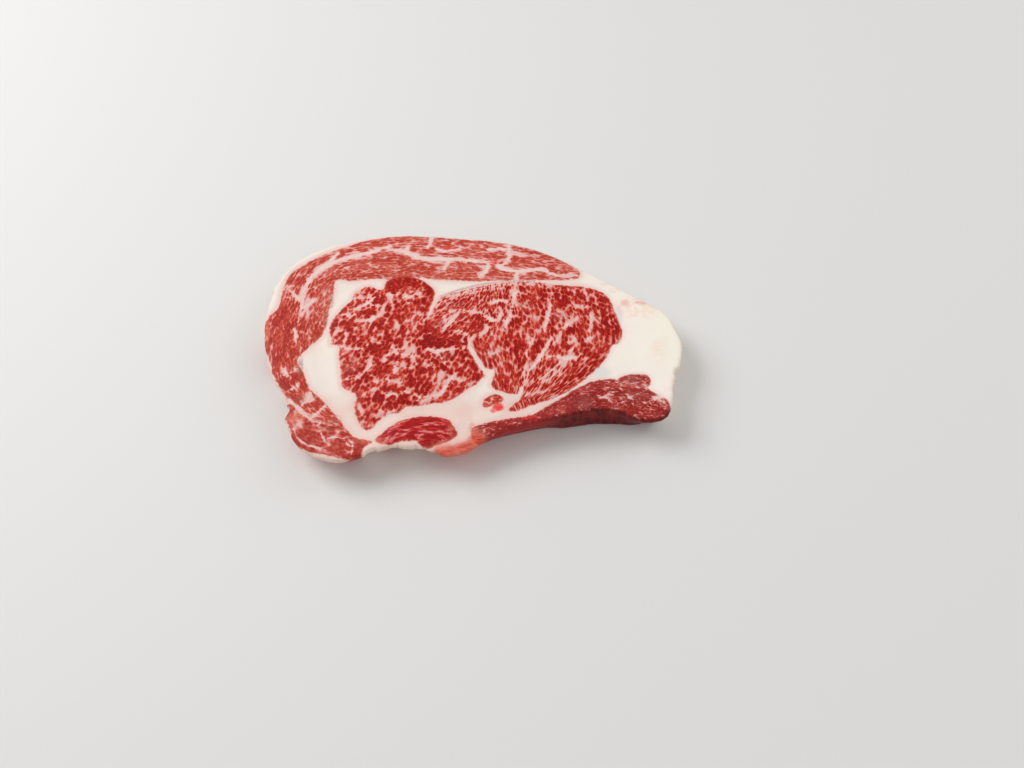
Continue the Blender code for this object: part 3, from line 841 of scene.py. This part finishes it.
# The net of fat, richer beside the veins and fainter where two muscles meet.
marbled = add(tree, "ShaderNodeGroup", node_tree=net)
tree.links.new(stored("fibre"), marbled.inputs["Fibre"])
by_veins = maths(tree, "MULTIPLY_ADD", is_maroon, -0.24, 0.32)
richer = maths(tree, "MULTIPLY_ADD", ramp(tree, vein_in, -2.0, 0.3), by_veins, coverage)
tree.links.new(richer, marbled.inputs["Coverage"])
apart = ramp(tree, maths(tree, "MULTIPLY_ADD", ragged, 1.0, at_meeting), 0.2, 0.7, 1.0, 0.3)
fat = maths(tree, "MULTIPLY", marbled.outputs["Fat"], apart)

# The wide veins, ragged and joined to the net.
branch_in = maths(tree, "MULTIPLY_ADD", ragged, 1.3, vein_in)
branch_in = maths(tree, "MULTIPLY_ADD", fat, 1.2, branch_in)
branched = ramp(tree, branch_in, 0.15, 1.15)
rise = maths(tree, "MAXIMUM", maths(tree, "MULTIPLY_ADD", fine, 0.1, fat), branched)

# Lean, by muscle, from its deep core to the pink of its thin veins.
eye = shades(tree, rise, (0.0, (140, 4, 2)), (0.2, (180, 32, 19)), (0.42, (208, 76, 57)),
             (0.68, (220, 130, 119)), (1.0, (229, 180, 173)))
cap = shades(tree, rise, (0.0, (176, 52, 38)), (0.2, (199, 82, 65)), (0.45, (214, 112, 98)),
             (0.72, (221, 144, 135)), (1.0, (230, 186, 180)))
crimson = shades(tree, rise, (0.0, (148, 2, 6)), (0.25, (182, 28, 28)), (0.5, (200, 62, 58)),
                 (0.75, (206, 90, 88)), (1.0, (216, 128, 124)))
maroon = shades(tree, rise, (0.0, (138, 26, 24)), (0.2, (164, 48, 44)), (0.45, (193, 88, 80)),
                (0.72, (214, 140, 132)), (1.0, (228, 188, 182)))
flesh = between(tree, is_cap, eye, cap)
flesh = between(tree, is_crimson, flesh, crimson)
flesh = between(tree, is_maroon, flesh, maroon)
broad = maths(tree, "MULTIPLY", ramp(tree, branch_in, 1.1, 2.4), maths(tree, "SUBTRACT", 1.0, is_crimson))
flesh = between(tree, broad, flesh, vein_white)

# The bare wall is darker, with upright streaks: partly the cut lean's own duller red, partly painted shade,
# darkest at the front right and lighter and redder farther left.
wires = {0: place, 1: (1.0, 1.0, 0.3)}
streaks = add(tree, "ShaderNodeVectorMath", wires, operation="MULTIPLY").outputs[0]
streaks = ramp(tree, lumps(tree, streaks, 420.0, 3.0, 0.6).outputs[0], 0.36, 0.64)
bare_lean_in_shade = between(tree, streaks, wall_shade_dark, wall_shade_mid)
bare_lean_in_shade = between(tree, ramp(tree, plan_x, 30.0, 58.0, 0.75, 0.0), bare_lean_in_shade, wall_less_shade)
bare_shade_share = ramp(tree, plan_x, -90.0, -20.0, 0.3, 0.93)
flesh = between(tree, maths(tree, "MULTIPLY", on_wall, bare_shade_share), flesh, bare_lean_in_shade)

# The lean thins out to a lighter edge.
halo = maths(tree, "MULTIPLY", ramp(tree, edge, 0.2, 1.6, 0.4, 0.0), maths(tree, "SUBTRACT", 1.0, rise))
flesh = between(tree, halo, flesh, lean_edge)

# Fat between the muscles, pink beside the lean and cream where it is wide.
thick = ramp(tree, depth_in, -4.0, -0.3, 1.0, 0.0)
right = ramp(tree, plan_x, 55.0, 88.0)
suet = between(tree, thick, suet_thin, suet_thick)
suet = between(tree, maths(tree, "MULTIPLY", right, thick), suet, suet_right)
in_front = ramp(tree, plan_y, -46.0, -30.0, 0.8, 0.0)
in_front = maths(tree, "MULTIPLY", in_front, maths(tree, "SUBTRACT", 1.0, right))
cloud = lumps(tree, place, 60.0, 2.0).outputs[0]
in_front = maths(tree, "MULTIPLY", in_front, ramp(tree, cloud, 0.35, 0.62, 1.0, 0.55))
suet = between(tree, in_front, suet, suet_front)
suet = between(tree, ramp(tree, cloud, 0.5, 0.8, 0.0, 0.35), suet, suet_warm)
blush = maths(tree, "MULTIPLY", right, ramp(tree, depth_in, -22.0, -3.0, 0.0, 0.55))
suet = between(tree, blush, suet, suet_blush)
suet = between(tree, maths(tree, "MULTIPLY", is_glassy, 0.6), suet, suet_glassy)
rind = between(tree, streaks, rind_pale, rind_deep)
suet = between(tree, maths(tree, "MULTIPLY", on_wall, 0.6), suet, rind)
colour = between(tree, outside, flesh, suet)

# Stippled grey membrane, stringy coral stains and beads of blood lie over both.
stippled = maths(tree, "MULTIPLY_ADD", has_film, 0.4, maths(tree, "MULTIPLY_ADD", fine, 1.4, ragged))
stippled = maths(tree, "MULTIPLY", has_film, ramp(tree, stippled, -0.15, 0.45))
colour = between(tree, maths(tree, "MULTIPLY", stippled, 0.6), colour, membrane)
wires = {0: place, 1: (0.45, 1.3, 1.0)}
strands = add(tree, "ShaderNodeVectorMath", wires, operation="MULTIPLY").outputs[0]
strands = ramp(tree, lumps(tree, strands, 520.0, 2.0, 0.6).outputs[0], 0.36, 0.62)
stain = between(tree, strands, coral_deep, coral_bright)
stain = between(tree, ramp(tree, has_coral, 0.3, 0.75), coral_faint, stain)
stained = maths(tree, "MULTIPLY_ADD", ragged, 1.8, has_coral)
stained = maths(tree, "MULTIPLY", has_coral, ramp(tree, stained, -0.1, 0.6))
colour = between(tree, maths(tree, "MULTIPLY", stained, 0.95), colour, stain)
beaded = maths(tree, "MULTIPLY_ADD", ragged, 2.0, has_blood)
beaded = maths(tree, "MULTIPLY", has_blood, ramp(tree, beaded, 0.1, 0.9))
colour = between(tree, maths(tree, "MULTIPLY", beaded, 0.97), colour, bead)
tree.links.new(colour, skin.inputs["Base Color"])

# Moist lean shines more than the waxy fat, and both have a fine wet grain.
dry = maths(tree, "MAXIMUM", rise, outside)
dull = maths(tree, "MULTIPLY_ADD", dry, 0.12, 0.40)
dull = maths(tree, "MULTIPLY_ADD", cloud, 0.12, dull)
tree.links.new(dull, skin.inputs["Roughness"])
height = maths(tree, "MULTIPLY_ADD", dry, 0.12, maths(tree, "MULTIPLY", fine, 0.25))
height = maths(tree, "MULTIPLY_ADD", ragged, 0.35, height)
bump = add(tree, "ShaderNodeBump", {"Strength": 0.35, "Distance": 0.6 * MM, "Height": height})
tree.links.new(bump.outputs[0], skin.inputs["Normal"])
skin.inputs["Specular IOR Level"].default_value = 0.2
skin.inputs["Subsurface Weight"].default_value = 0.06
skin.inputs["Subsurface Radius"].default_value = (1.0, 0.35, 0.2)
skin.inputs["Subsurface Scale"].default_value = 1.2 * MM

steak.data.materials.clear()
steak.data.materials.append(beef)

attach(steak, "root")
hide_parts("steak")
